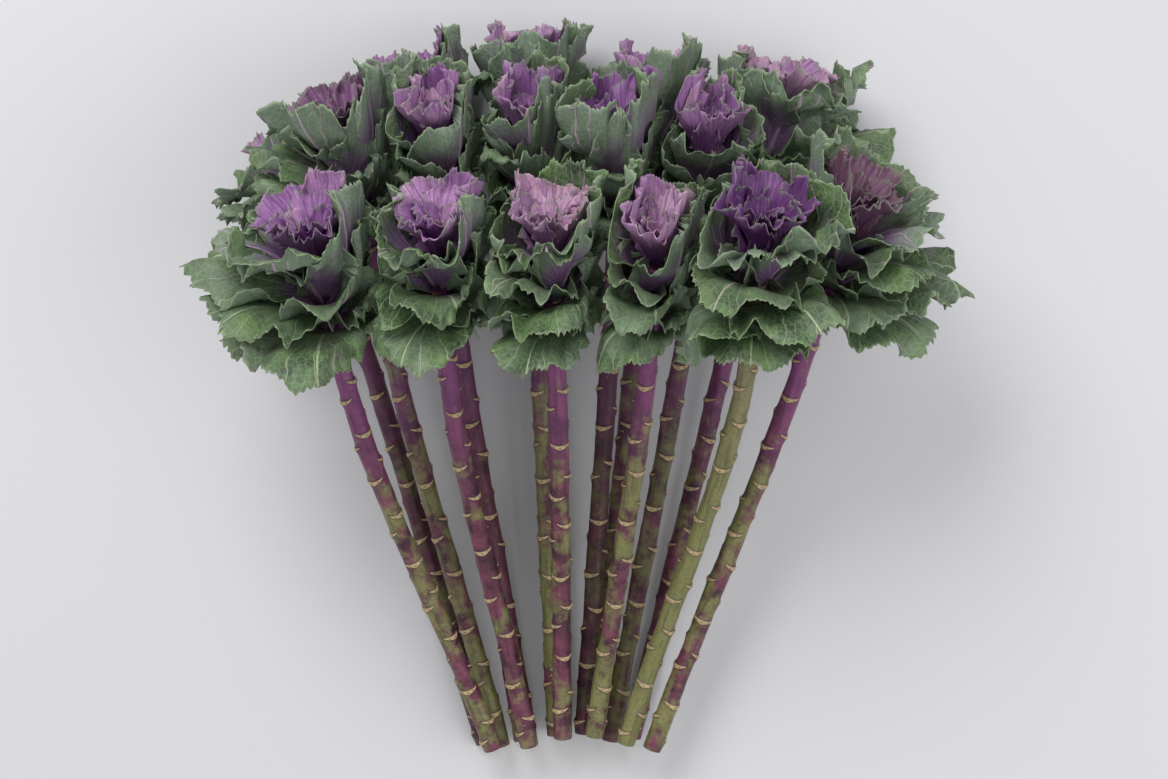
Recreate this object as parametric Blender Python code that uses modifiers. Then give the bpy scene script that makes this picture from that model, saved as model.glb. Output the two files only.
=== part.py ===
"""A bunch of cut ornamental kale lying on a flat surface, heads towards +Y and cut ends towards -Y.

Each plant is a stem, a whorl of green outer leaves and a purple heart. The plants lie in three layers.
Every leaf is a fan on a cup round the plant's axis, and it is pressed inward where a neighbour lies
against the head, so no leaf crosses another plant.
"""

import math
from collections import namedtuple

import bmesh
import bpy
import numpy as np

# Driving sizes, in metres and degrees
STEM_RADIUS = 0.0082
NODE_SWELLING = 0.10
STALK_LENGTH = 0.068
BUD_LENGTH = 0.044
BUD_FOOT = 0.0060
BUD_RADIUS = 0.0120
LEAF_THICKNESS = 0.0010
TOUCH_GAP = 0.0003
HAIR = 1e-10
GOLDEN_ANGLE = 137.508
FAN_HALF_ANGLE = 76.0
ROOT_RADIUS = 0.0040
LEAST_WRAP = 0.006
MOST_WRAP = 75.0
LEAF_TURNS = 24
BUNCH_CENTRE = (0.0145, 0.3123, 0.0)

# How the press of the neighbours bends a leaf
FREE_SHARE = 0.65
RIM_FREE_SHARE = 0.90
CUP_SHARE = 0.75
OUTSIDE_SHARE = 0.95
CLIMB = 0.90
DROP = 1.60
CORNER_SHARPNESS = 9.0
LAYER_STEP = 0.010
HEART_STEP = 0.010
FLOOR_SOFTNESS = 0.0010
FLOOR_LEVEL = 0.0003
FLOOR_STEP = 0.0150
FLOOR_AGE = 22 / 23
CELL_CLEARANCE = 0.0012
WALL_LEAN = 20.0
WAVE_ROOM = 0.004
LEAST_HEART_ROOM = 0.010
LEAST_LEAF_ROOM = 0.017

# Leaf numbers run outward from the middle of the head. The odd ones are left to the finer model.
HEART_LEAVES = (6, 7, 8)
HEART_TURNS = 10
OUTER_LEAVES = (10, 12, 14, 16, 18, 20, 22)
HEART_PLEATS = 2
OUTER_PLEATS = 2
MID_ROW = 0.62
CORE_SIDES = 6

STEM_POINTS = 10
STRAIGHT_END = 0.006
STEM_BEVEL = 1

Plant = namedtuple("Plant", "name x y z side lift spread turn")
Leaf = namedtuple("Leaf", "age azimuth root start end curl length rise ruffle phase inset flat cup")

# Where each crown sits: sideways, along and above the surface. side and lift lean its axis.
PLANTS = (
    Plant("top_1", -0.195, 0.405, 0.245, -0.16, 0.62, 1.04, 75),
    Plant("top_2", -0.100, 0.415, 0.250, -0.02, 0.72, 0.92, 62),
    Plant("top_3", -0.012, 0.412, 0.252, -0.05, 0.52, 0.92, 153),
    Plant("top_4", 0.071, 0.410, 0.246, 0.06, 0.60, 0.92, 274),
    Plant("top_5", 0.153, 0.415, 0.255, 0.05, 0.70, 1.00, 164),
    Plant("top_6", 0.222, 0.430, 0.205, 0.26, 0.62, 0.98, 235),
    Plant("middle_1", -0.176, 0.500, 0.158, -0.14, 0.45, 1.00, 70),
    Plant("middle_2", -0.104, 0.506, 0.160, -0.06, 0.50, 0.92, 266),
    Plant("middle_3", -0.030, 0.508, 0.146, -0.04, 0.42, 0.92, 155),
    Plant("middle_4", 0.043, 0.500, 0.168, 0.03, 0.68, 1.00, 58),
    Plant("middle_5", 0.114, 0.500, 0.150, 0.08, 0.45, 0.92, 245),
    Plant("bottom_1", -0.222, 0.480, 0.082, -0.36, 0.22, 0.88, 128),
    Plant("bottom_2", -0.120, 0.540, 0.066, -0.12, 0.20, 1.00, 112),
    Plant("bottom_3", -0.030, 0.560, 0.062, -0.02, 0.20, 1.00, 125),
    Plant("bottom_4", 0.072, 0.535, 0.066, 0.06, 0.20, 1.00, 139),
    Plant("bottom_5", 0.172, 0.530, 0.070, 0.16, 0.24, 1.08, 118),
)
CUT_HEIGHTS = {"top": 0.0500, "middle": 0.0298, "bottom": 0.0078}
GATHER = 0.33
CUT_STAGGER = 0.012


def unit(vector):
    vector = np.asarray(vector, float)
    return vector / np.linalg.norm(vector)


def crown_of(plant):
    return np.array((plant.x, plant.y, plant.z))


def axis_of(plant):
    """The way the head faces, out along its stem."""
    return unit((plant.side, 1.0, plant.lift))


def frame_of(plant):
    """Two directions across the axis: the first is as level as can be, the second faces upward."""
    axis = axis_of(plant)
    across = unit(np.cross((0.0, 0.0, 1.0), axis))
    return across, np.cross(axis, across)


def stem_route(plant, count):
    """Points along the stem, from its cut end to the foot of the leafy stalk."""
    layer = plant.name.split("_")[0]
    number = int(plant.name.split("_")[1])
    axis = axis_of(plant)
    top = crown_of(plant) - axis * STALK_LENGTH
    cut = np.array((plant.x * GATHER, CUT_STAGGER * (0.5 + 0.5 * math.sin(5 * number)), CUT_HEIGHTS[layer]))
    span = np.linalg.norm(top - cut)
    first = cut + (top - cut) * (0.35, 0.35, 0.12)
    second = top - axis * span * (0.32, 0.32, 0.26)
    share = np.linspace(0.0, 1.0, count)[:, None]
    rest = 1.0 - share
    return rest**3 * cut + 3 * rest**2 * share * first + 3 * rest * share**2 * second + share**3 * top


def axis_points(plant, count=40):
    """Points along the stretch of the axis that carries leaves."""
    heights = np.linspace(-STALK_LENGTH - 0.012, 0.075, count)[:, None]
    return crown_of(plant) + heights * axis_of(plant)


def closest_pair(first, second):
    gaps = np.linalg.norm(first[:, None, :] - second[None, :, :], axis=2)
    i, j = np.unravel_index(np.argmin(gaps), gaps.shape)
    return first[i], second[j]


def wall_between(plant, other):
    """The wall that two heads share: its direction away from the first one, and how far out it stands.

    It leans, to one side or the other, so that one head laps over the next.
    """
    near, far = closest_pair(axis_points(plant), axis_points(other))
    share = plant.spread / (plant.spread + other.spread)
    middle = near + (far - near) * share
    axis = unit(axis_of(plant) + axis_of(other))
    way = unit(far - near)
    first, second = sorted((PLANTS.index(plant), PLANTS.index(other)))
    lean = math.radians(WALL_LEAN) * (1.0 if (5 * first + 3 * second) % 4 < 2 else -1.0)
    way = unit(way * math.cos(lean) + np.cross(axis, way) * math.sin(lean))
    return way, way @ middle - CELL_CLEARANCE


def cell_of(plant):
    """The flat walls round a head: one towards each other head, and one beside each other stem."""
    normals, limits = [], []
    own = axis_points(plant)
    for other in PLANTS:
        if other is plant:
            continue
        way, limit = wall_between(plant, other)
        normals.append(way)
        limits.append(limit)
        for point in stem_route(other, 30):
            gaps = np.linalg.norm(own - point, axis=1)
            if gaps.min() > 0.20:
                continue
            way = unit(point - own[np.argmin(gaps)])
            stem_reach = STEM_RADIUS * (1 + NODE_SWELLING) + CELL_CLEARANCE
            normals.append(way)
            limits.append(way @ point - stem_reach)
    return np.array(normals), np.array(limits)


def room(cell, origins, ways):
    """How far each point may go from the axis before it meets a wall, with the corners eased."""
    normals, limits = cell
    towards = ways @ normals.T
    left = np.maximum(limits - origins @ normals.T, 0.002)
    reach = np.where(towards > 0.05, left / np.maximum(towards, 0.05), 10.0)
    return np.sum(reach**-CORNER_SHARPNESS, axis=1) ** (-1.0 / CORNER_SHARPNESS)


def pressed(distance, limit, free_share):
    """Leaves a point near the axis alone, and eases one further out so that it stays within the limit."""
    free = free_share * limit
    spare = limit - free
    return np.where(distance < free, distance, free + spare * (1.0 - np.exp(-(distance - free) / spare)))


def folded_slope(slope, distance, limit, rise):
    """The slope of a leaf after the press, which folds it up, or down where rise is negative, along a wall."""
    over = np.maximum(distance / limit - FREE_SHARE, 0.0) / (1.0 - FREE_SHARE)
    kept = np.exp(-over)
    return np.arctan2(kept * np.sin(slope), np.cos(slope) + rise * (1.0 - kept) * np.sin(slope))


def on_floor(height, level):
    """Presses what would sink below the surface flat onto it."""
    return level + FLOOR_SOFTNESS * np.logaddexp(0.0, (height - level) / FLOOR_SOFTNESS)


def leaf_of(plant, number):
    """One leaf's place and size. Age runs from 0 for the innermost leaf to 1 for the outermost."""
    age = number / (LEAF_TURNS - 1)
    inset = LAYER_STEP * (1.0 - age)
    chance = math.sin(7.3 * number + plant.turn)
    if number >= HEART_TURNS:
        share = (number - HEART_TURNS) / (LEAF_TURNS - 1 - HEART_TURNS)
        root = -0.016 - (STALK_LENGTH - 0.026) * share
        length = (0.094 + 0.014 * math.sin(math.pi * share)) * (1.0 + 0.08 * chance)
        start, end, curl = 27.0 + 31.0 * share, 68.0 + 34.0 * share + 8.0 * chance, 50.0
        rise, ruffle = CLIMB - DROP * share, 0.0060
        flat, cup = 0.35 + 0.25 * share, 1.0 - 0.9 * share
    else:
        share = number / HEART_TURNS
        root = 0.013 - 0.010 * share
        length = 0.038 + 0.046 * share
        start, end, curl = 6.0 + 18.0 * share, 24.0 + 42.0 * share + 5.0 * chance, 60.0 * share
        rise, ruffle = CLIMB, 0.0010 + 0.0035 * share
        flat, cup = 0.30 * share, 1.0
        inset += HEART_STEP
    azimuth = math.radians(plant.turn + number * GOLDEN_ANGLE)
    phase = math.pi * (number // 2 % 2)
    bends = [math.radians(angle) for angle in (start, end, curl)]
    return Leaf(age, azimuth, root, *bends, length * plant.spread, rise, ruffle, phase, inset, flat, cup)


def profile(leaf, along):
    """The middle of a leaf from the side: its slope from the axis, its distance from it and its height."""
    share = np.linspace(0.0, 1.1, 56)
    slope = leaf.start + (leaf.end - leaf.start) * share
    slope = slope + leaf.curl * np.maximum((share - 0.55) / 0.45, 0.0) ** 2
    step = leaf.length * share[1]
    radius = ROOT_RADIUS + step * (np.cumsum(np.sin(slope)) - math.sin(leaf.start))
    height = leaf.root + step * (np.cumsum(np.cos(slope)) - math.cos(leaf.start))
    place = along / leaf.length
    return tuple(np.interp(place, share, values) for values in (slope, radius, height))


def cup_radius(plant, height):
    """How far the innermost green leaf stands from the axis. The heart stays inside, and the rest outside."""
    first = leaf_of(plant, HEART_TURNS)
    slope, radius, heights = profile(first, np.linspace(0.0, first.length, 30))
    rising = slice(0, int(np.argmax(heights)) + 1)
    return np.interp(height, heights[rising], radius[rising])


def blade_points(plant, cell, leaf, pleats, fan, out):
    """Points of a blade's middle surface. fan runs -1..1 across it, and out 0..1 from base to rim."""
    turn = fan * math.radians(FAN_HALF_ANGLE)
    reach = leaf.length * np.cos(turn) ** 0.6 * out
    over, along = reach * np.sin(turn), reach * np.cos(turn)
    slope, radius, height = profile(leaf, along)
    bow = np.maximum(radius, LEAST_WRAP) / (1.0 - leaf.flat)
    most = math.radians(MOST_WRAP)
    turn = most * np.tanh(over / bow / most)
    sag = leaf.cup * bow * (1.0 - np.cos(turn))
    sideways = bow * np.sin(turn)
    outward = np.maximum(radius - sag * np.cos(slope), 0.002)
    height = height + 0.5 * sag * np.sin(slope)
    azimuth = leaf.azimuth + np.arctan2(sideways, outward)
    smooth = np.hypot(outward, sideways)
    across, upward = frame_of(plant)
    ways = np.cos(azimuth)[:, None] * across + np.sin(azimuth)[:, None] * upward
    axis = axis_of(plant)
    cup = cup_radius(plant, height)
    least = LEAST_HEART_ROOM
    if leaf.age >= HEART_TURNS / (LEAF_TURNS - 1):
        smooth = np.maximum(smooth, OUTSIDE_SHARE * cup)
        cup = 1.0
        least = LEAST_LEAF_ROOM
    origins = crown_of(plant) + height[:, None] * axis
    limit = np.minimum(np.maximum(room(cell, origins, ways) - leaf.inset - WAVE_ROOM, least), CUP_SHARE * cup)
    distance = pressed(smooth, limit, FREE_SHARE)
    origins = origins + (leaf.rise * (smooth - distance))[:, None] * axis
    slope = folded_slope(slope, smooth, limit, leaf.rise)
    wave = leaf.ruffle * out**2 * np.cos(math.pi * pleats * (fan + 1.0) + leaf.phase)
    distance = np.maximum(distance + wave * np.cos(slope), 0.001)
    origins = origins - (wave * np.sin(slope))[:, None] * axis
    limit = np.maximum(room(cell, origins, ways) - leaf.inset, least)
    distance = pressed(distance, limit, RIM_FREE_SHARE)
    points = origins + ways * distance[:, None]
    level = FLOOR_LEVEL + FLOOR_STEP * max(0.0, FLOOR_AGE - leaf.age)
    points[:, 2] = on_floor(points[:, 2], level)
    return points


def new_object(name, mesh, collection):
    made = bpy.data.objects.new(name, mesh)
    collection.objects.link(made)
    return made


def leaf_blade(plant, cell, number, pleats, collection):
    """A thin fan-shaped blade: a base point, a middle row and a rim with two facets to a pleat."""
    middle = np.linspace(-1.0, 1.0, pleats + 1)
    edge = np.linspace(-1.0, 1.0, 2 * pleats + 1)
    fan = np.concatenate(((0.0,), middle, edge))
    out = np.concatenate(((0.0,), np.full(middle.size, MID_ROW), np.ones(edge.size)))
    points = blade_points(plant, cell, leaf_of(plant, number), pleats, fan, out)
    faces = []
    for i in range(pleats):
        left, right, rim = 1 + i, 2 + i, pleats + 2 + 2 * i
        faces.append((0, left, right))
        faces.append((left, rim, rim + 1))
        faces.append((left, rim + 1, right))
        faces.append((right, rim + 1, rim + 2))
    mesh = bpy.data.meshes.new("blade")
    mesh.from_pydata(points.tolist(), [], faces)
    blade = new_object(f"blade_{plant.name}_{number}", mesh, collection)
    skin = blade.modifiers.new("thickness", "SOLIDIFY")
    skin.thickness = LEAF_THICKNESS
    skin.offset = 0.0
    return blade


def tapered_core(name, plant, low, high, low_radius, high_radius, collection):
    """A short round core along the axis, between two heights from the crown."""
    shape = bmesh.new()
    bmesh.ops.create_cone(
        shape, cap_ends=True, segments=CORE_SIDES, radius1=low_radius, radius2=high_radius, depth=high - low
    )
    axis = axis_of(plant)
    across, upward = frame_of(plant)
    for vert in shape.verts:
        place = across * vert.co.x + upward * vert.co.y + axis * (vert.co.z + (low + high) / 2.0)
        vert.co = crown_of(plant) + place
    mesh = bpy.data.meshes.new(name)
    shape.to_mesh(mesh)
    shape.free()
    return new_object(name, mesh, collection)


def ear_quality(before, tip, after, others, normal):
    """Whether a corner can be cut off without holding another corner, and how round the cut piece is."""
    sides = ((before, tip), (tip, after), (after, before))
    area = normal.dot((tip - before).cross(after - before))
    roundness = area / sum((end - start).length_squared for start, end in sides)
    holds = any(
        all(normal.dot((end - start).cross(point - start)) > HAIR for start, end in sides)
        for point in others
    )
    return area > HAIR and not holds, roundness


def split_faces(shape):
    """Splits every face into triangles, and never draws the same new edge on two faces."""
    joined = {frozenset(edge.verts) for edge in shape.edges}
    for face in [face for face in shape.faces if len(face.verts) > 3]:
        loop = list(face.verts)
        normal = face.normal.copy()
        shape.faces.remove(face)
        while len(loop) > 3:
            ears = []
            for i, tip in enumerate(loop):
                before, after = loop[i - 1], loop[(i + 1) % len(loop)]
                others = [vert.co for vert in loop if vert not in (before, tip, after)]
                fits, roundness = ear_quality(before.co, tip.co, after.co, others, normal)
                fresh = frozenset((before, after)) not in joined
                ears.append((fits and fresh, fresh, roundness, i))
            i = max(ears)[-1]
            before, after = loop[i - 1], loop[(i + 1) % len(loop)]
            joined.add(frozenset((before, after)))
            shape.faces.new((before, loop.pop(i), after))
        shape.faces.new(loop)


def keep_outside(mesh):
    """Keeps the largest connected skin, which fills a sealed hollow and drops a loose scrap."""
    shape = bmesh.new()
    shape.from_mesh(mesh)
    left = set(shape.verts)
    skins = []
    while left:
        skin, border = set(), [left.pop()]
        while border:
            vert = border.pop()
            skin.add(vert)
            for edge in vert.link_edges:
                other = edge.other_vert(vert)
                if other in left:
                    left.remove(other)
                    border.append(other)
        skins.append(skin)
    skins.sort(key=len)
    for skin in skins[:-1]:
        bmesh.ops.delete(shape, geom=list(skin), context="VERTS")
    split_faces(shape)
    shape.to_mesh(mesh)
    shape.free()


def join_blades(core, blades):
    """Fuses the blades of a collection into their core, then removes the loose blades."""
    union = core.modifiers.new("join", "BOOLEAN")
    union.operation = "UNION"
    union.operand_type = "COLLECTION"
    union.collection = blades
    union.solver = "MANIFOLD"
    graph = bpy.context.evaluated_depsgraph_get()
    joined = bpy.data.meshes.new_from_object(core.evaluated_get(graph))
    keep_outside(joined)
    core.modifiers.clear()
    core.data = joined
    for blade in list(blades.objects):
        bpy.data.objects.remove(blade)
    bpy.data.collections.remove(blades)


def trim_floor(core):
    """Cuts off the hair's breadth of leaf below the surface, so that the pressed leaves lie flat on it."""
    bpy.ops.mesh.primitive_cube_add(size=1.0, location=(0.0, 0.5, -0.5))
    slab = bpy.context.active_object
    slab.scale = (2.0, 2.0, 1.0)
    cut = core.modifiers.new("floor", "BOOLEAN")
    cut.operation = "DIFFERENCE"
    cut.object = slab
    cut.solver = "MANIFOLD"
    graph = bpy.context.evaluated_depsgraph_get()
    trimmed = bpy.data.meshes.new_from_object(core.evaluated_get(graph))
    keep_outside(trimmed)
    core.modifiers.clear()
    core.data = trimmed
    bpy.data.objects.remove(slab)


def whorl(name, plant, cell, numbers, pleats, core, bunch):
    """A core with its blades fused to it."""
    blades = bpy.data.collections.new("blades")
    bpy.context.scene.collection.children.link(blades)
    for number in numbers:
        leaf_blade(plant, cell, number, pleats, blades)
    body = tapered_core(name, plant, *core, bunch)
    join_blades(body, blades)
    if body.data.vertices and min(vert.co.z for vert in body.data.vertices) < 0.0:
        trim_floor(body)
    return body


def stem(plant, bunch):
    """A round stem that swells at each leaf scar, as a tube along its route."""
    line = bpy.data.curves.new(f"stem_{plant.name}", "CURVE")
    line.dimensions = "3D"
    line.bevel_depth = STEM_RADIUS
    line.bevel_resolution = STEM_BEVEL
    line.use_fill_caps = True
    route = stem_route(plant, STEM_POINTS)
    end = route[-1] - axis_of(plant) * TOUCH_GAP
    route[-1] -= axis_of(plant) * STRAIGHT_END
    route = np.vstack((route, end))
    spline = line.splines.new("POLY")
    spline.points.add(len(route) - 1)
    for index, (point, place) in enumerate(zip(spline.points, route)):
        point.co = (*place, 1.0)
        point.radius = 1.0 + NODE_SWELLING * (index % 2)
    return new_object(f"stem_{plant.name}", line, bunch)


def paint(target, name, colour, roughness):
    material = bpy.data.materials.get(name) or bpy.data.materials.new(name)
    material.use_nodes = True
    surface = material.node_tree.nodes["Principled BSDF"]
    surface.inputs["Base Color"].default_value = (*colour, 1.0)
    surface.inputs["Roughness"].default_value = roughness
    surface.inputs["Metallic"].default_value = 0.0
    target.data.materials.clear()
    target.data.materials.append(material)


def centre(objects):
    """Moves the bunch so that the origin lies under its middle, on the surface."""
    for item in objects:
        item.location = [-value for value in BUNCH_CENTRE]


def main():
    for item in list(bpy.data.objects):
        bpy.data.objects.remove(item)
    bunch = bpy.data.collections.new("purple_kale_bunch")
    bpy.context.scene.collection.children.link(bunch)
    for plant in PLANTS:
        cell = cell_of(plant)
        stalk = (-STALK_LENGTH, -TOUCH_GAP / 2, STEM_RADIUS, STEM_RADIUS)
        bud = (TOUCH_GAP / 2, BUD_LENGTH, BUD_FOOT, BUD_RADIUS)
        outer = whorl(f"leaves_{plant.name}", plant, cell, OUTER_LEAVES, OUTER_PLEATS, stalk, bunch)
        heart = whorl(f"heart_{plant.name}", plant, cell, HEART_LEAVES, HEART_PLEATS, bud, bunch)
        paint(outer, "green_leaf", (0.10, 0.16, 0.09), 0.55)
        paint(heart, "purple_leaf", (0.26, 0.12, 0.32), 0.50)
        paint(stem(plant, bunch), "purple_stem", (0.13, 0.05, 0.12), 0.45)
    centre(bunch.objects)


main()
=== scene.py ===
# %% [markdown]
# # A bunch of purple kale, lying down
# Ornamental kale is a cabbage grown for its colour. Each cut plant is a bare stem, a whorl of green outer
# leaves and a purple heart. The solids hold the stems and coarse versions of some of the leaves.
# This lesson puts finely ruffled leaves and scarred stems in their place. The same formulas place them, so
# the fine leaves lie where the coarse ones do.

# %% Load the solids
import math
from collections import namedtuple
from functools import partial

import bpy
import numpy as np
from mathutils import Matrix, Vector


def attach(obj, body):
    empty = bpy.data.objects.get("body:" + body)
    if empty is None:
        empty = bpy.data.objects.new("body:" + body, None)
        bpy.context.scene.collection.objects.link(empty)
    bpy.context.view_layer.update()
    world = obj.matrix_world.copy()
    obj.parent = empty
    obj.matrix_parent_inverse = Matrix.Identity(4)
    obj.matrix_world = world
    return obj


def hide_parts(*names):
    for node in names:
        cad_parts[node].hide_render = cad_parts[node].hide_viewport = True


scene = bpy.context.scene
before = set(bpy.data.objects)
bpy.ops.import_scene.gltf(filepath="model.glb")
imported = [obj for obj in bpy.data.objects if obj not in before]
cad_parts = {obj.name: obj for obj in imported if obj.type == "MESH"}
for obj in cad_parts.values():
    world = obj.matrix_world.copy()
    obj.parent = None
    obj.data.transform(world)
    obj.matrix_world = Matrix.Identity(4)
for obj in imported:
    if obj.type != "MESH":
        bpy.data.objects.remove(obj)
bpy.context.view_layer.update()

# %% [markdown]
# ## The plants
# A packed bunch can't be drawn head by head by eye, because the leaves would run through each other. Here
# each plant has a crown, the point where its leaves stop, and an axis that its head faces along. The numbers
# are the ones that the solids were made from, in metres and degrees. tone and bronze are for colour alone:
# tone runs from deep violet to pale lilac, and bronze brings the browner purple of an old heart.

# %% Crowns, axes and colours
BUNCH_CENTRE = np.array((0.0145, 0.3123, 0.0))
Plant = namedtuple("Plant", "name x y z side lift spread turn tone bronze")
PLANTS = (
    Plant("top_1", -0.195, 0.405, 0.245, -0.16, 0.62, 1.04, 75, 0.45, 0.0),
    Plant("top_2", -0.100, 0.415, 0.250, -0.02, 0.72, 0.92, 62, 0.55, 0.0),
    Plant("top_3", -0.012, 0.412, 0.252, -0.05, 0.52, 0.92, 153, 0.75, 0.1),
    Plant("top_4", 0.071, 0.410, 0.246, 0.06, 0.60, 0.92, 274, 0.70, 0.0),
    Plant("top_5", 0.153, 0.415, 0.255, 0.05, 0.70, 1.00, 164, 0.15, 0.0),
    Plant("top_6", 0.222, 0.430, 0.205, 0.26, 0.62, 0.98, 235, 0.20, 0.7),
    Plant("middle_1", -0.176, 0.500, 0.158, -0.14, 0.45, 1.00, 70, 0.40, 0.5),
    Plant("middle_2", -0.104, 0.506, 0.160, -0.06, 0.50, 0.92, 266, 0.60, 0.0),
    Plant("middle_3", -0.030, 0.508, 0.146, -0.04, 0.42, 0.92, 155, 0.55, 0.0),
    Plant("middle_4", 0.043, 0.500, 0.168, 0.03, 0.68, 1.00, 58, 0.35, 0.0),
    Plant("middle_5", 0.114, 0.500, 0.150, 0.08, 0.45, 0.92, 245, 0.50, 0.1),
    Plant("bottom_1", -0.222, 0.480, 0.082, -0.36, 0.22, 0.88, 128, 0.60, 0.1),
    Plant("bottom_2", -0.120, 0.540, 0.066, -0.12, 0.20, 1.00, 112, 0.45, 0.2),
    Plant("bottom_3", -0.030, 0.560, 0.062, -0.02, 0.20, 1.00, 125, 0.60, 0.0),
    Plant("bottom_4", 0.072, 0.535, 0.066, 0.06, 0.20, 1.00, 139, 0.65, 0.0),
    Plant("bottom_5", 0.172, 0.530, 0.070, 0.16, 0.24, 1.08, 118, 0.75, 0.2),
)
STALK_LENGTH = 0.068
STEM_RADIUS = 0.0082
CUT_HEIGHTS = {"top": 0.0500, "middle": 0.0298, "bottom": 0.0078}
GATHER = 0.33
CUT_STAGGER = 0.012


def unit(vector):
    vector = np.asarray(vector, float)
    return vector / np.linalg.norm(vector)


def crown_of(plant):
    return np.array((plant.x, plant.y, plant.z))


def axis_of(plant):
    return unit((plant.side, 1.0, plant.lift))


def frame_of(plant):
    """Two directions across the axis. The second faces upward."""
    axis = axis_of(plant)
    across = unit(np.cross((0.0, 0.0, 1.0), axis))
    return across, np.cross(axis, across)


def stem_route(plant, count):
    """Points from the cut end to the foot of the leafy stalk, on one smooth bend."""
    layer, number = plant.name.split("_")
    axis = axis_of(plant)
    top = crown_of(plant) - axis * STALK_LENGTH
    stagger = CUT_STAGGER * (0.5 + 0.5 * math.sin(5 * int(number)))
    cut = np.array((plant.x * GATHER, stagger, CUT_HEIGHTS[layer]))
    span = np.linalg.norm(top - cut)
    first = cut + (top - cut) * (0.35, 0.35, 0.12)
    second = top - axis * span * (0.32, 0.32, 0.26)
    share = np.linspace(0.0, 1.0, count)[:, None]
    rest = 1.0 - share
    return rest**3 * cut + 3 * rest**2 * share * first + 3 * rest * share**2 * second + share**3 * top


print("plants:", len(PLANTS))

# %% [markdown]
# ## Room for each head
# In a bunch the heads press against each other. Each one keeps a cell with flat walls, one towards every
# other head and one beside every stem that passes. A leaf that would go through a wall is eased back, and
# the length that it loses turns into height, as a leaf that meets its neighbour folds up along it.

# %% The walls of each cell
CELL_CLEARANCE = 0.0012
WALL_LEAN = 20.0
HEAD_FOOT = -STALK_LENGTH - 0.012
HEAD_TOP = 0.075
FAR_STEM = 0.20
WIDEST_STEM = STEM_RADIUS * 1.1


def closest_pair(first, second):
    gaps = np.linalg.norm(first[:, None, :] - second[None, :, :], axis=2)
    i, j = np.unravel_index(np.argmin(gaps), gaps.shape)
    return first[i], second[j]


def axis_points(plant):
    heights = np.linspace(HEAD_FOOT, HEAD_TOP, 40)[:, None]
    return crown_of(plant) + heights * axis_of(plant)


def wall_between(plant, other):
    """The wall that two heads share: its direction away from the first one, and how far out it stands.

    It leans, to one side or the other, so that one head laps over the next.
    """
    near, far = closest_pair(axis_points(plant), axis_points(other))
    share = plant.spread / (plant.spread + other.spread)
    middle = near + (far - near) * share
    axis = unit(axis_of(plant) + axis_of(other))
    way = unit(far - near)
    first, second = sorted((PLANTS.index(plant), PLANTS.index(other)))
    lean = math.radians(WALL_LEAN) * (1.0 if (5 * first + 3 * second) % 4 < 2 else -1.0)
    way = unit(way * math.cos(lean) + np.cross(axis, way) * math.sin(lean))
    return way, way @ middle - CELL_CLEARANCE


def cell_of(plant):
    """The walls round a head, as outward directions and how far out each one stands."""
    normals, limits = [], []
    own = axis_points(plant)
    for other in PLANTS:
        if other is plant:
            continue
        way, limit = wall_between(plant, other)
        normals.append(way)
        limits.append(limit)
        for point in stem_route(other, 30):
            gaps = np.linalg.norm(own - point, axis=1)
            if gaps.min() > FAR_STEM:
                continue
            way = unit(point - own[np.argmin(gaps)])
            normals.append(way)
            limits.append(way @ point - WIDEST_STEM - CELL_CLEARANCE)
    return np.array(normals), np.array(limits)


cells = {plant.name: cell_of(plant) for plant in PLANTS}
print("walls round top_3:", len(cells["top_3"][1]))

# %% [markdown]
# ## Pressing a leaf into its cell
# room says how far a point may go. pressed lets a leaf grow freely up to a share of that room, and then eases
# it towards the wall without ever reaching it. folded_slope turns the leaf along the wall by the same
# measure, so its waves lie along the wall too. on_floor does the same as pressed for the surface below.

# %% How a leaf is pressed
FREE_SHARE = 0.65
CORNER_SHARPNESS = 9.0
LEAST_GAP = 0.002
LEAST_TURN = 0.05
NO_WALL = 10.0
FLOOR_SOFTNESS = 0.0010


def room(cell, origins, ways):
    """How far each point may go from the axis before it meets a wall, with the corners eased."""
    normals, limits = cell
    towards = ways @ normals.T
    left = np.maximum(limits - origins @ normals.T, LEAST_GAP)
    reach = np.where(towards > LEAST_TURN, left / np.maximum(towards, LEAST_TURN), NO_WALL)
    return np.sum(reach**-CORNER_SHARPNESS, axis=1) ** (-1.0 / CORNER_SHARPNESS)


def pressed(distance, limit, free_share):
    free = free_share * limit
    spare = limit - free
    return np.where(distance < free, distance, free + spare * (1.0 - np.exp(-(distance - free) / spare)))


def folded_slope(slope, distance, limit, rise):
    """The slope of a leaf after the press. It folds up along a wall, or down where rise is negative."""
    over = np.maximum(distance / limit - FREE_SHARE, 0.0) / (1.0 - FREE_SHARE)
    kept = np.exp(-over)
    return np.arctan2(kept * np.sin(slope), np.cos(slope) + rise * (1.0 - kept) * np.sin(slope))


def on_floor(height, level):
    return level + FLOOR_SOFTNESS * np.logaddexp(0.0, (height - level) / FLOOR_SOFTNESS)


print("a leaf with 50 mm of room reaches", round(float(pressed(0.06, 0.05, FREE_SHARE)) * 1000), "mm of 60")

# %% [markdown]
# ## One leaf
# A kale leaf is a broad fan on a short stalk. Leaves follow the golden angle round the stem, so no two
# stand in line. Each one bends on an arc: the young ones stand almost upright and make a cup, and the old
# ones lean out and hang. The solids hold every second green leaf and three of each heart, and all of them
# are made here. Two of the added ones, the collar, stand up beside the heart, as the youngest green leaves
# of a head do.

# %% Size and place of each leaf
GOLDEN_ANGLE = 137.508
LEAF_TURNS = 24
HEART_TURNS = 10
CLIMB = 0.90
DROP = 1.60
LAYER_STEP = 0.010
HEART_STEP = 0.006
COLLAR = (11, 13)
Leaf = namedtuple("Leaf", "age heart azimuth root start end curl length rise ruffle phase inset flat cup")


def green_share(number):
    """0 for the innermost green leaf and 1 for the outermost."""
    return (number - HEART_TURNS) / (LEAF_TURNS - 1 - HEART_TURNS)


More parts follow.
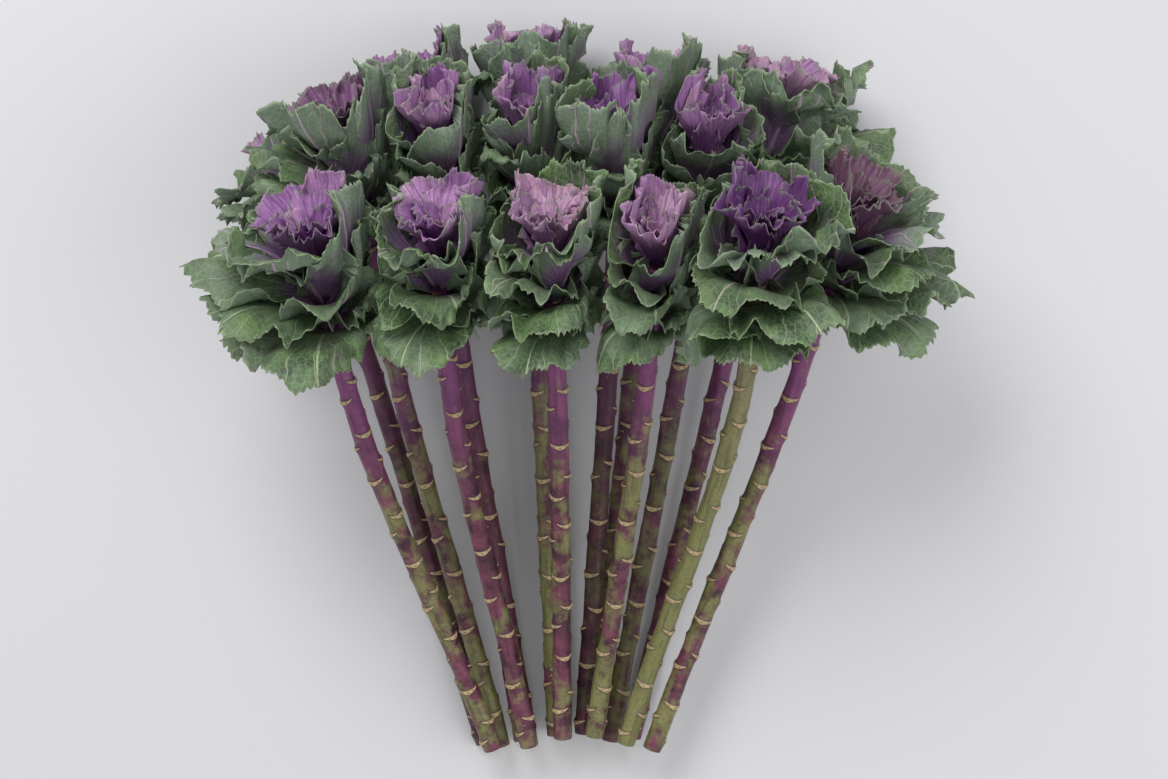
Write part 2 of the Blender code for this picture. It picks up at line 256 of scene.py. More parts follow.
def leaf_of(plant, number):
    """Age runs from 0 for the innermost leaf to 1 for the outermost."""
    age = number / (LEAF_TURNS - 1)
    inset = LAYER_STEP * (1.0 - age)
    chance = math.sin(7.3 * number + plant.turn)
    heart = number < HEART_TURNS
    if not heart:
        share = green_share(number)
        root = -0.016 - (STALK_LENGTH - 0.026) * share
        length = (0.094 + 0.014 * math.sin(math.pi * share)) * (1.0 + 0.08 * chance)
        start, end, curl = 27.0 + 31.0 * share, 68.0 + 34.0 * share + 8.0 * chance, 50.0
        rise, ruffle = CLIMB - DROP * share, 0.0060
        flat, cup = 0.35 + 0.25 * share, 1.0 - 0.9 * share
        if number in COLLAR:
            start, end, curl, length = 24.0, 50.0, 35.0, length * 1.10
    else:
        share = number / HEART_TURNS
        root = 0.013 - 0.010 * share
        length = 0.038 + 0.046 * share
        start, end, curl = 6.0 + 18.0 * share, 24.0 + 42.0 * share + 5.0 * chance, 60.0 * share
        rise, ruffle = CLIMB, 0.0010 + 0.0035 * share
        flat, cup = 0.30 * share, 1.0
        inset += HEART_STEP
    azimuth = math.radians(plant.turn + number * GOLDEN_ANGLE)
    phase = math.pi * (number // 2 % 2)
    bends = [math.radians(angle) for angle in (start, end, curl)]
    length *= plant.spread
    return Leaf(age, heart, azimuth, root, *bends, length, rise, ruffle, phase, inset, flat, cup)


sample = leaf_of(PLANTS[0], 14)
print("an outer leaf is", round(sample.length * 100, 1), "cm long")

# %% [markdown]
# ## The arc of a leaf
# Seen from the side, a leaf grows up and out from the stem and bends further out, most of all near its tip.
# Drawing the 384 arcs of the bunch by hand would take days. Here the slope is a formula of the way along the
# midrib, and adding up small steps at that slope gives the arc.

# %% The flat leaf and its arc
FAN_HALF_ANGLE = 76.0
ROOT_RADIUS = 0.0040
TIP_START = 0.55


def flat_place(leaf, fan, out, rim):
    """Where a point lies on the leaf before it is bent: across it and along it, in metres."""
    turn = fan * math.radians(FAN_HALF_ANGLE)
    reach = leaf.length * np.cos(turn) ** 0.6 * rim * out
    return reach * np.sin(turn), reach * np.cos(turn)


def profile(leaf, along):
    """The middle of a leaf from the side: its slope from the axis, its distance from it and its height."""
    share = np.linspace(0.0, 1.1, 56)
    tip = np.maximum((share - TIP_START) / (1.0 - TIP_START), 0.0)
    slope = leaf.start + (leaf.end - leaf.start) * share + leaf.curl * tip**2
    step = leaf.length * share[1]
    radius = ROOT_RADIUS + step * (np.cumsum(np.sin(slope)) - math.sin(leaf.start))
    height = leaf.root + step * (np.cumsum(np.cos(slope)) - math.cos(leaf.start))
    place = along / leaf.length
    return tuple(np.interp(place, share, values) for values in (slope, radius, height))


def cup_radius(plant, height):
    """How far the innermost green leaf stands from the axis. The heart stays inside, and the rest outside."""
    first = leaf_of(plant, HEART_TURNS)
    slope, radius, heights = profile(first, np.linspace(0.0, first.length, 30))
    rising = slice(0, int(np.argmax(heights)) + 1)
    return np.interp(height, heights[rising], radius[rising])


print("its rim stands", round(float(profile(sample, sample.length)[1]) * 100, 1), "cm from the axis")

# %% [markdown]
# ## Bending a leaf
# The leaf is laid out flat, then bent twice: along its midrib on that arc, and across, where an inner leaf
# wraps round the head and an old one stays flat. Then it gets its waves, and the walls of its cell and the
# floor press it. The order matters, since a wave must not push a leaf through a wall.

# %% Bend, ruffle and press
LEAST_WRAP = 0.006
MOST_WRAP = 75.0
CUP_SHARE = 0.80
OUTSIDE_SHARE = 0.95
RIM_FREE_SHARE = 0.90
PLEATS = 2
WAVE_ROOM = 0.004
LEAST_HEART_ROOM = 0.010
LEAST_LEAF_ROOM = 0.017
FLOOR_LEVEL = 0.0006
FLOOR_STEP = 0.0150
FLOOR_AGE = 22 / 23


def bent_place(plant, cell, leaf, over, along, fan, out, lift):
    """Bends a leaf onto its cup, ruffles it, and presses it into its cell and onto the floor."""
    slope, radius, height = profile(leaf, along)
    bow = np.maximum(radius, LEAST_WRAP) / (1.0 - leaf.flat)
    most = math.radians(MOST_WRAP)
    turn = most * np.tanh(over / bow / most)
    sag = leaf.cup * bow * (1.0 - np.cos(turn))
    sideways = bow * np.sin(turn)
    outward = np.maximum(radius - sag * np.cos(slope), 0.002)
    height = height + 0.5 * sag * np.sin(slope)
    azimuth = leaf.azimuth + np.arctan2(sideways, outward)
    smooth = np.hypot(outward, sideways)
    across, upward = frame_of(plant)
    ways = np.cos(azimuth)[:, None] * across + np.sin(azimuth)[:, None] * upward
    axis = axis_of(plant)
    cup = cup_radius(plant, height)
    least = LEAST_HEART_ROOM
    if not leaf.heart:
        smooth = np.maximum(smooth, OUTSIDE_SHARE * cup)
        cup = 1.0
        least = LEAST_LEAF_ROOM
    origins = crown_of(plant) + height[:, None] * axis
    limit = np.minimum(np.maximum(room(cell, origins, ways) - leaf.inset - WAVE_ROOM, least), CUP_SHARE * cup)
    distance = pressed(smooth, limit, FREE_SHARE)
    origins = origins + (leaf.rise * (smooth - distance))[:, None] * axis
    slope = folded_slope(slope, smooth, limit, leaf.rise)
    wave = leaf.ruffle * out**2 * np.cos(math.pi * PLEATS * (fan + 1.0) + leaf.phase) + lift
    distance = np.maximum(distance + wave * np.cos(slope), 0.001)
    origins = origins - (wave * np.sin(slope))[:, None] * axis
    limit = np.maximum(room(cell, origins, ways) - leaf.inset, least)
    distance = pressed(distance, limit, RIM_FREE_SHARE)
    points = origins + ways * distance[:, None]
    level = FLOOR_LEVEL + FLOOR_STEP * max(0.0, FLOOR_AGE - leaf.age)
    points[:, 2] = on_floor(points[:, 2], level)
    return points


print("an inner leaf wraps round the head by up to", MOST_WRAP, "degrees a side")

# %% [markdown]
# ## A fine leaf, laid flat
# The rim of a kale leaf has all the detail: waves a centimetre or two long and teeth of a few millimetres.
# The middle is nearly smooth. So each leaf has few columns of points at its foot, twice as many halfway out
# and four times as many at the rim, and triangles join the rows where the number doubles.

# %% Rows of points and the triangles between them
HEART_COLUMNS = 28
OUTER_COLUMNS = 30
COLUMN_TIMES = {1: (0.03, 0.17, 0.31, 0.45), 2: (0.57, 0.68, 0.78), 4: (0.87, 0.94, 1.0)}
ROWS = [(out, times) for times, outs in COLUMN_TIMES.items() for out in outs]


def row_faces(lower, upper):
    """Triangles between two rows. The upper one has as many columns as the lower one, or twice as many."""
    if len(upper) == len(lower):
        first = np.stack((lower[:-1], lower[1:], upper[1:]), axis=-1)
        second = np.stack((lower[:-1], upper[1:], upper[:-1]), axis=-1)
        return np.vstack((first, second))
    middle = upper[1::2]
    wide = np.stack((lower[:-1], lower[1:], middle), axis=-1)
    left = np.stack((lower[:-1], middle, upper[:-1:2]), axis=-1)
    right = np.stack((lower[1:], upper[2::2], middle), axis=-1)
    return np.vstack((wide, left, right))


def leaf_pattern(columns):
    """Fan and out of every point of a flat leaf, its triangles, and the loop of points round its edge."""
    fans = [np.linspace(-1.0, 1.0, columns * times + 1) for _, times in ROWS]
    outs = [np.full(len(fan), out) for fan, (out, _) in zip(fans, ROWS)]
    starts = np.cumsum([0] + [len(fan) for fan in fans])
    rows = [np.arange(first, last) for first, last in zip(starts[:-1], starts[1:])]
    faces = np.vstack([row_faces(lower, upper) for lower, upper in zip(rows[:-1], rows[1:])])
    right = [row[-1] for row in rows[1:-1]]
    left = [row[0] for row in rows[-2:0:-1]]
    border = np.concatenate((rows[0], right, rows[-1][::-1], left))
    return np.concatenate(fans), np.concatenate(outs), faces, border


heart_pattern = leaf_pattern(HEART_COLUMNS)
outer_pattern = leaf_pattern(OUTER_COLUMNS)
print("triangles on one face of a leaf:", len(heart_pattern[2]), "and", len(outer_pattern[2]))

# %% [markdown]
# ## Ruffles and teeth
# The rim of a kale leaf grows faster than its middle, so it has more length than it can lay flat, and it
# buckles into waves. Small teeth run along it. The waves are drawn as sines that grow towards the rim, with
# a phase of their own on each leaf. Between the veins the blade also puffs up by a fraction of a millimetre.
# Every wave is real geometry: the bump in the material only adds what is finer than the mesh.

# %% Wave height and the toothed rim
HEART_WAVES = (0.0050, 0.0056, 0.0046)
OUTER_WAVES = (0.0068, 0.0056, 0.0024)
WAVE_STARTS = (0.35, 0.55, 0.72)
WAVE_POWERS = (1.7, 1.6, 1.4)
WAVE_COUNTS = (2.6, 5.1, 10.3)
PUFF_HEIGHT = 0.00035
PUFF_SIZES = (0.021, 0.015, 0.011)
TOOTH = 0.022
FULL_TURN = 2.0 * math.pi


def crinkle(leaf, over, along, fan, out, random):
    """How far each point stands off the smooth leaf, in metres."""
    shift = random.uniform(0.0, FULL_TURN, 9)
    sway = fan + 0.10 * np.sin(4.0 * fan + shift[0]) + 0.03 * np.sin(11.0 * fan + shift[8])
    sizes = HEART_WAVES if leaf.heart else OUTER_WAVES
    patchy = 0.65 + 0.35 * np.sin(FULL_TURN * 1.3 * fan + shift[4])
    lift = np.zeros_like(fan)
    waves = zip(WAVE_STARTS, WAVE_POWERS, WAVE_COUNTS, sizes, (1.0, patchy, 1.3 - patchy), shift[1:4])
    for start, power, count, height, patch, turn in waves:
        grown = np.clip((out - start) / (1.0 - start), 0.0, 1.0) ** power
        lift += height * grown * patch * np.sin(FULL_TURN * count * sway + turn)
    for turn, wave in zip(shift[4:7], PUFF_SIZES):
        place = (over * math.cos(turn) + along * math.sin(turn)) / wave
        other = (over * math.sin(turn) - along * math.cos(turn)) / wave
        lift += PUFF_HEIGHT * np.sin(FULL_TURN * place) * np.sin(FULL_TURN * other + shift[7])
    return lift * leaf.length / 0.10


def toothed_rim(fan, out, random):
    """How far each point lies along its ray, as a share: broad lobes, and uneven teeth on the last row."""
    start, other = random.uniform(0.0, FULL_TURN, 2)
    lobes = 0.035 * np.sin(FULL_TURN * 2.3 * fan + start)
    lobes += 0.018 * np.sin(FULL_TURN * 6.1 * fan + other)
    last = out > 0.99
    notch = np.zeros_like(fan)
    notch[last] = TOOTH * (np.arange(last.sum()) % 2) + TOOTH * random.uniform(0.0, 1.0, last.sum())
    return 1.0 + lobes * out - notch


print("teeth are about", round(0.25 / (OUTER_COLUMNS * 4) * 2 * 1000, 1), "mm apart")

# %% [markdown]
# ## Both faces of a leaf
# A leaf is a thin sheet with a thick midrib that stands out on its back. The sheet is bent first, then it is
# offset along its own normals to both sides, and the back is pushed out further where the midrib runs.

# %% The shell of one leaf
BLADE_THICKNESS = 0.0006
MIDRIB_DEPTH = 0.0030
MIDRIB_WIDTH = 0.0024
ABOVE_FLOOR = 0.0002


def point_normals(points, faces):
    """Unit normals at the points of a mesh of triangles."""
    corners = points[faces]
    ways = np.cross(corners[:, 1] - corners[:, 0], corners[:, 2] - corners[:, 0])
    normals = np.zeros_like(points)
    for corner in range(3):
        np.add.at(normals, faces[:, corner], ways)
    return normals / np.maximum(np.linalg.norm(normals, axis=1, keepdims=True), 1e-12)


def leaf_shell(plant, number, random):
    """The points of both faces of one leaf, its triangles, and what the material reads at each point."""
    leaf = leaf_of(plant, number)
    fan, out, faces, border = heart_pattern if leaf.heart else outer_pattern
    over, along = flat_place(leaf, fan, out, toothed_rim(fan, out, random))
    lift = crinkle(leaf, over, along, fan, out, random)
    middle = bent_place(plant, cells[plant.name], leaf, over, along, fan, out, lift)
    normals = point_normals(middle, faces)
    outward = np.sign(np.sum((middle - crown_of(plant)) * normals)) or 1.0
    half = BLADE_THICKNESS / 2.0
    rib = MIDRIB_DEPTH * np.exp(-((over / MIDRIB_WIDTH) ** 2)) * (1.0 - out) ** 1.1
    inner = middle - outward * half * normals
    outer = middle + outward * (half + rib)[:, None] * normals
    points = np.vstack((inner, outer))
    points[:, 2] = np.maximum(points[:, 2], ABOVE_FLOOR)
    count = len(fan)
    ahead = np.roll(border, -1)
    strip = np.stack((border, border + count, ahead + count, ahead), axis=-1)
    strip = np.vstack((strip[:, (0, 1, 2)], strip[:, (0, 2, 3)]))
    faces = np.vstack((faces, faces[:, ::-1] + count, strip))
    if outward > 0.0:
        faces = faces[:, ::-1]
    return points, faces, np.column_stack((fan, out, over, along))


print("points on one outer leaf:", 2 * len(outer_pattern[0]))

# %% [markdown]
# ## From leaves to a piece
# A head has two pieces, the green whorl and the purple heart, since each takes the place of one solid. All
# leaves of a piece go into one mesh. The material has to know where on its leaf each point lies, so the
# mesh carries that along as attributes: leaf_place holds the place across and out, and which face it is on;
# leaf_flat holds millimetre-true flat coordinates; leaf_mood holds the colour of that leaf.

# %% Arrays to a mesh, and a mesh to a piece
def mesh_from(name, points, faces, vectors):
    """A smooth mesh from lists of arrays, with one vector attribute for each named list."""
    points, faces = np.vstack(points) - BUNCH_CENTRE, np.vstack(faces)
    mesh = bpy.data.meshes.new(name)
    mesh.vertices.add(len(points))
    mesh.vertices.foreach_set("co", np.asarray(points, np.float32).ravel())
    mesh.loops.add(faces.size)
    mesh.loops.foreach_set("vertex_index", np.asarray(faces, np.int32).ravel())
    mesh.polygons.add(len(faces))
    mesh.polygons.foreach_set("loop_start", np.arange(0, faces.size, faces.shape[1], dtype=np.int32))
    for attribute, values in vectors.items():
        layer = mesh.attributes.new(attribute, "FLOAT_VECTOR", "POINT")
        layer.data.foreach_set("vector", np.asarray(np.vstack(values), np.float32).ravel())
    mesh.update(calc_edges=True)
    mesh.shade_smooth()
    mesh.validate()
    return mesh


def new_object(name, data):
    item = bpy.data.objects.new(name, data)
    scene.collection.objects.link(item)
    return item


def new_piece(mesh, material, node):
    piece = new_object(mesh.name, mesh)
    mesh.materials.append(material)
    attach(piece, "root")
    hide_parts(node)


print("solids to replace:", 3 * len(PLANTS))

# %% [markdown]
# ## A mood for each leaf
# No two leaves of a head have the same colour. A heart leaf has a tone from violet to lilac. A green leaf has
# purple at its base, less of it the older the leaf is, an amount of grey wax, and now and then a blemish:
# old kale leaves carry grey blotches with black specks. All of this is drawn at random, from seeds, so that
# each run gives the same bunch.

# %% Build a whorl
def leaf_mood(plant, number, random):
    """Heart: tone, how far purple reaches, bronze. Green leaf: wax, how far purple reaches, blemish."""
    if number < HEART_TURNS:
        reach = 1.25 - 0.35 * (number / HEART_TURNS) ** 2
        tone = np.clip(plant.tone + random.normal(0.0, 0.10), 0.0, 1.0)
        return tone, reach, plant.bronze
    share = green_share(number)
    reach = max(0.0, 0.80 - 1.4 * share) + 0.17
    wax = 0.3 * share + 0.7 * random.uniform(0.0, 1.0)
    return wax, reach, share**0.5 * random.uniform(0.0, 1.0) ** 3


def whorl_mesh(name, plant, numbers):
    """One mesh of the leaves with these numbers, counted outward from the middle of the head."""
    points, faces, place, flat, mood = [], [], [], [], []
    start = 0
    for number in numbers:
        random = np.random.default_rng([PLANTS.index(plant), number])
        both, triangles, facts = leaf_shell(plant, number, random)
        points.append(both)
        faces.append(triangles + start)
        start += len(both)
        seed = random.uniform(0.0, 20.0)
        count = len(facts)
        for under in (0.0, 1.0):
            place.append(np.column_stack((facts[:, 0], facts[:, 1], np.full(count, under))))
            flat.append(np.column_stack((facts[:, 2], facts[:, 3], np.full(count, seed))))
        mood.append(np.tile(leaf_mood(plant, number, random), (2 * count, 1)))
    return mesh_from(name, points, faces, {"leaf_place": place, "leaf_flat": flat, "leaf_mood": mood})


print("leaves in a whorl:", LEAF_TURNS - HEART_TURNS, "and in a heart:", HEART_TURNS)

# %% [markdown]
# ## Colour and nodes
# Colours are written as sRGB hex values, as a colour picker shows them, and one function turns them to the
# linear values that Blender works in. One more function adds a node, sets it up and links its inputs. Each
# material passes it on as add, with its own node tree filled in. A finish is then built up as a painter
# would, in coats over a base colour, each one kept to its own places by a mask.

# %% Colour and node helpers
WAX_IOR = 1.45


def linear(hex_colour):
    """An sRGB hex colour as linear red, green, blue and alpha."""
    values = [int(hex_colour[i : i + 2], 16) / 255.0 for i in (1, 3, 5)]
    return (*(v / 12.92 if v <= 0.04045 else ((v + 0.055) / 1.055) ** 2.4 for v in values), 1.0)


def add_node(tree, kind, inputs, output=0, **settings):
    """Adds a shader node, links or sets its inputs, and returns one of its outputs.

    A kind in capitals, such as MULTIPLY, is an operation of the Math node.
    """
    if kind.isupper():
        kind, settings = "Math", {"operation": kind}
    node = tree.nodes.new("ShaderNode" + kind)
    for setting, value in settings.items():
        setattr(node, setting, value)
    for socket, value in inputs.items():
        if isinstance(value, bpy.types.NodeSocket):
            tree.links.new(value, node.inputs[socket])
        else:
            node.inputs[socket].default_value = value
    return node.outputs[output]


def coated(add, base, coats):
    """A base colour under coats of others, each as strong as its mask times its share."""
    colour = linear(base)
    for mask, share, coat in coats:
        share = add("MULTIPLY", {0: mask, 1: share})
        coat = linear(coat) if isinstance(coat, str) else coat
        colour = add("Mix", {0: share, 6: colour, 7: coat}, 2, data_type="RGBA")
    return colour


def point_facts(add, *names):
    """What the mesh carries at each point: the three numbers of each named attribute, and it as a whole."""
    facts = []
    for name in names:
        vector = add("Attribute", {}, "Vector", attribute_name=name)
        facts.append((*add("SeparateXYZ", {0: vector}).node.outputs, vector))
    return facts


def waxed(surface, colour, rough, relief):
    """Links a finish to the shader. The thin wax over the whole plant sets its gloss."""
    for socket, value in (("Base Color", colour), ("Roughness", rough), ("Normal", relief)):
        surface.id_data.links.new(value, surface.inputs[socket])
    surface.inputs["IOR"].default_value = WAX_IOR


def new_material(name):
    """A material, the function that adds a node to it, and its shader."""
    material = bpy.data.materials.new(name)
    material.use_nodes = True
    tree = material.node_tree
    return material, partial(add_node, tree), tree.nodes["Principled BSDF"]


print("mid green as linear:", [round(v, 3) for v in linear("#5f7a58")[:3]])

# %% [markdown]
# ## Leaf colours
# These are the colours of the real leaf in plain light: the green blade, the grey wax on it, its paler back,
# and the run of purples from the throat of a heart to its frilled rim. A vein has a colour of its own on
# each: pale or pink on green, dark violet on purple.

# %% Leaf colours
DEEP_GREEN = "#2c4428"
FRESH_GREEN = "#607f49"
GREY_BLOOM = "#8b9d86"
LEAF_BACK = "#849686"
PALE_VEIN = "#b4c39c"
PINK_VEIN = "#c9a6c6"
LEAF_PURPLE = "#8d639a"
DARK_SPECK = "#33362f"
GREY_BLOTCH = "#6f6d66"
PALE_RIM = "#b3c79b"
DEEP_VIOLET = "#653671"
MID_PURPLE = "#a674b0"
SOFT_LILAC = "#d6abd0"
PINK_CREAM = "#e2bcc6"
BRONZE_PURPLE = "#72525a"
THROAT_VIOLET = "#552a63"
VIOLET_VEIN = "#62327a"
GREY_GREEN_FLECK = "#73886a"
DUSTY_RIM = "#b48fa4"
print("throat of a heart as linear:", [round(v, 3) for v in linear(THROAT_VIOLET)[:3]])


# %% [markdown]
# ## Veins
# A kale leaf has one thick pale midrib. Side veins leave it low down, hug it at first and then sweep out to
# the rim like the ribs of a fan, with finer twigs and a fine net between them. On the flat leaf, a line on
# which |fan| / out^0.55 stays the same does just that. A little noise keeps the lines from looking ruled.
# Their width is kept near a millimetre by dividing by the spacing of the lines, which grows towards the rim.
# The net is the edges of Voronoi cells about 5 mm across.

# %% Vein pattern shared by both leaf materials
VEINS_PER_HALF = 5.0
VEIN_HUG = 0.55
STRAY_SIZE = 0.030
NET_CELL = 0.0052


def vein_pattern(add, fan, out, over, flat):
    """Midrib, side veins and net at each point, each from 0 to 1."""
    side = add("ABSOLUTE", {0: fan})
    hug = add("POWER", {0: out, 1: VEIN_HUG})
    sweep = add("DIVIDE", {0: side, 1: hug})
    stray = add("TexNoise", {"Vector": flat, "Scale": 1 / STRAY_SIZE, "Detail": 2.0})
    stray = add("MULTIPLY", {0: stray, 1: 0.9})
    half = add("GREATER_THAN", {0: fan, 1: 0.0})
    start = add("MULTIPLY_ADD", {0: half, 1: 0.4, 2: stray})
    count = add("MULTIPLY_ADD", {0: sweep, 1: VEINS_PER_HALF, 2: start})
    thin = add("POWER", {0: out, 1: -1.3})
    lines = []
    for times, width, most in ((1.0, 0.026, 0.30), (3.0, 0.045, 0.32)):
        many = add("MULTIPLY", {0: count, 1: times})
        many = add("FRACT", {0: many})
        away = add("SUBTRACT", {0: many, 1: 0.5})
        away = add("ABSOLUTE", {0: away})
        wide = add("MULTIPLY", {0: thin, 1: width})
        wide = add("MINIMUM", {0: wide, 1: most})
        away = add("DIVIDE", {0: away, 1: wide})
        ends = {0: away, 1: 0.35, 2: 1.25, 3: 1.0, 4: 0.0}
        lines.append(add("MapRange", ends, interpolation_type="SMOOTHSTEP"))
    grown = add("MapRange", {0: out, 1: 0.30, 2: 0.75, 3: 0.0, 4: 0.55})
    twig = add("MULTIPLY", {0: lines[1], 1: grown})
    branch = add("MAXIMUM", {0: lines[0], 1: twig})
    rib_width = add("MapRange", {0: out, 1: 0.0, 2: 1.0, 3: 0.0024, 4: 0.0006})
    rib = add("ABSOLUTE", {0: over})
    rib = add("DIVIDE", {0: rib, 1: rib_width})
    rib = add("MapRange", {0: rib, 1: 0.5, 2: 1.2, 3: 1.0, 4: 0.0}, interpolation_type="SMOOTHSTEP")
    cracks = {"Vector": flat, "Scale": 1 / NET_CELL, "Randomness": 0.9}
    net = add("TexVoronoi", cracks, feature="DISTANCE_TO_EDGE")
    net = add("MapRange", {0: net, 1: 0.0, 2: 0.14, 3: 1.0, 4: 0.0})
    return rib, branch, net


def leaf_finish(add, surface, colour, branch, rib, under, flat):
    """Colour, the relief of the veins and the puffed blade, and the soft, uneven sheen of wax."""
    puff = add("TexNoise", {"Vector": flat, "Scale": 1 / 0.0045, "Detail": 2.0})
    ridges = add("MAXIMUM", {0: branch, 1: rib})
    height = add("MULTIPLY_ADD", {0: ridges, 1: -0.8, 2: puff})
    facing = add("MULTIPLY_ADD", {0: under, 1: -2.0, 2: 1.0})
    height = add("MULTIPLY", {0: height, 1: facing})
    relief = add("Bump", {"Height": height, "Distance": 0.0008, "Strength": 0.8})
    bloom = add("TexNoise", {"Vector": flat, "Scale": 1 / 0.018, "Detail": 3.0})
    rough = add("MapRange", {0: bloom, 1: 0.3, 2: 0.7, 3: 0.40, 4: 0.58})
    waxed(surface, colour, rough, relief)


print("side veins in half a leaf:", VEINS_PER_HALF, "and cells of the net", NET_CELL * 1000, "mm")

# %% [markdown]
# ## The green leaf
# The outer leaves are a dull green under a thin grey wax, called bloom, that scatters light and hides the
# gloss. Veins are paler, and near the base they and the blade turn purple, most of all on the young leaves.
# The back is greyer than the front. The rim is a thin pale line. Old leaves carry small dark specks. Wax over
# a leaf has an IOR near 1.45, and a roughness of about 0.5 gives the soft sheen.

# %% Green kale leaf with its waxy bloom
LEAF_FACTS = ("leaf_place", "leaf_flat", "leaf_mood")
RIM_START = 0.975


def waxy_green_leaf():
    material, add, surface = new_material("waxy_green_leaf")
    (fan, out, under, _), (over, _, _, flat), (wax, reach, blemish, _) = point_facts(add, *LEAF_FACTS)
    rib, branch, net = vein_pattern(add, fan, out, over, flat)
    clouds = ((0.020, 3.0, 0.5), (0.050, 4.0, 0.5), (0.0035, 4.0, 0.7), (0.022, 3.0, 0.6))
    patch, bloom, speck, blot = [
        add("TexNoise", {"Vector": flat, "Scale": 1 / size, "Detail": detail, "Roughness": rough})
        for size, detail, rough in clouds
    ]
    patch = add("MapRange", {0: patch, 1: 0.36, 2: 0.66})
    bloom = add("MULTIPLY_ADD", {0: wax, 1: 0.22, 2: bloom})
    bloom = add("MapRange", {0: bloom, 1: 0.50, 2: 0.84, 3: 0.02, 4: 0.60})
    inside = add("DIVIDE", {0: out, 1: reach})
    young = add("MapRange", {0: inside, 1: 0.45, 2: 1.0, 3: 1.0, 4: 0.0}, interpolation_type="SMOOTHSTEP")
    far = add("MapRange", {0: inside, 1: 0.8, 2: 2.4})
    vein = coated(add, PINK_VEIN, [(far, 1.0, PALE_VEIN)])
    blot = add("MapRange", {0: blot, 1: 0.44, 2: 0.58})
    blot = add("MULTIPLY", {0: blot, 1: blemish})
    speck = add("MULTIPLY_ADD", {0: blot, 1: 0.14, 2: speck})
    speck = add("MapRange", {0: speck, 1: 0.65, 2: 0.71})
    rim = add("MapRange", {0: out, 1: RIM_START, 2: 1.0})
    coats = (
        (patch, 1.0, FRESH_GREEN),
        (bloom, 1.0, GREY_BLOOM),
        (under, 0.55, LEAF_BACK),
        (net, 0.20, PALE_VEIN),
        (young, 0.90, LEAF_PURPLE),
        (branch, 0.50, vein),
        (rib, 0.85, vein),
        (blot, 0.75, GREY_BLOTCH),
        (speck, 0.65, DARK_SPECK),
        (rim, 0.46, PALE_RIM),
    )
    leaf_finish(add, surface, coated(add, DEEP_GREEN, coats), branch, rib, under, flat)
    return material


green_material = waxy_green_leaf()
print("nodes in the green leaf:", len(green_material.node_tree.nodes))

# %% [markdown]
# ## The purple heart leaf
# Cold weather makes the young leaves lose their green and fill with the same red pigment as red cabbage.
# They run from deep violet through lilac to a pinkish cream, with darker violet veins, and the frilled rim is
# flecked with grey-green and dusty pink. tone picks the place on that scale, leaf by leaf.

# %% Purple kale leaf
def frilled_purple_leaf():
    material, add, surface = new_material("frilled_purple_leaf")
    (fan, out, under, _), (over, _, _, flat), (tone, _, bronze, _) = point_facts(add, *LEAF_FACTS)
    rib, branch, net = vein_pattern(add, fan, out, over, flat)
    patch = add("TexNoise", {"Vector": flat, "Scale": 1 / 0.024, "Detail": 3.0})
    shade = add("MULTIPLY_ADD", {0: patch, 1: 0.5, 2: -0.30})
    shade = add("ADD", {0: shade, 1: tone})
    middle = add("MapRange", {0: shade, 1: 0.0, 2: 0.45})
    light = add("MapRange", {0: shade, 1: 0.40, 2: 0.80})
    cream = add("MULTIPLY", {0: shade, 1: out})
    cream = add("MapRange", {0: cream, 1: 0.50, 2: 0.95})
    throat = add("MapRange", {0: out, 1: 0.10, 2: 0.70, 3: 1.0, 4: 0.0})
    fleck = add("TexNoise", {"Vector": flat, "Scale": 1 / 0.009, "Detail": 3.0})
    fleck = add("MapRange", {0: fleck, 1: 0.42, 2: 0.60})
    edge = add("MapRange", {0: out, 1: 0.88, 2: 0.99})
    fleck = add("MULTIPLY", {0: edge, 1: fleck})
    rim = add("MapRange", {0: out, 1: RIM_START, 2: 1.0})
    coats = (
        (middle, 1.0, MID_PURPLE),
        (light, 1.0, SOFT_LILAC),
        (cream, 0.80, PINK_CREAM),
        (bronze, 1.15, BRONZE_PURPLE),
        (throat, 0.85, THROAT_VIOLET),
        (net, 0.15, DEEP_VIOLET),
        (branch, 0.42, VIOLET_VEIN),
        (rib, 0.45, VIOLET_VEIN),
        (fleck, 0.75, GREY_GREEN_FLECK),
        (rim, 0.30, DUSTY_RIM),
    )
    leaf_finish(add, surface, coated(add, DEEP_VIOLET, coats), branch, rib, under, flat)
    return material


purple_material = frilled_purple_leaf()
print("nodes in the purple leaf:", len(purple_material.node_tree.nodes))

# %% [markdown]
# ## The stem
# The bare stem lost its leaves one by one as the plant grew, and each left a scar: a tan, gull-winged lip
# that wraps half the stem, stands a little proud and sits on a slight swelling, so the outline is knobbly.
# The tube is built ring by ring. Each point keeps its place beside the nearest scar, in metres, so that the
# material can draw a scar far more sharply than the rings could.

# %% Where the leaf scars are
STEM_SIDES = 28
RING_STEP = 0.0016
SCAR_STEP = 0.0165
FIRST_SCAR = 0.010
SCAR_HALF_WIDTH = 0.0090
SCAR_HALF_HEIGHT = 0.0019
SCAR_HEIGHT = 0.0011
SWELLING = 0.0011
SWOLLEN_LENGTH = 0.0042
SWOLLEN_TURN = 1.2
WING_RISE = 0.0030
VISUAL_RADIUS = 0.0079


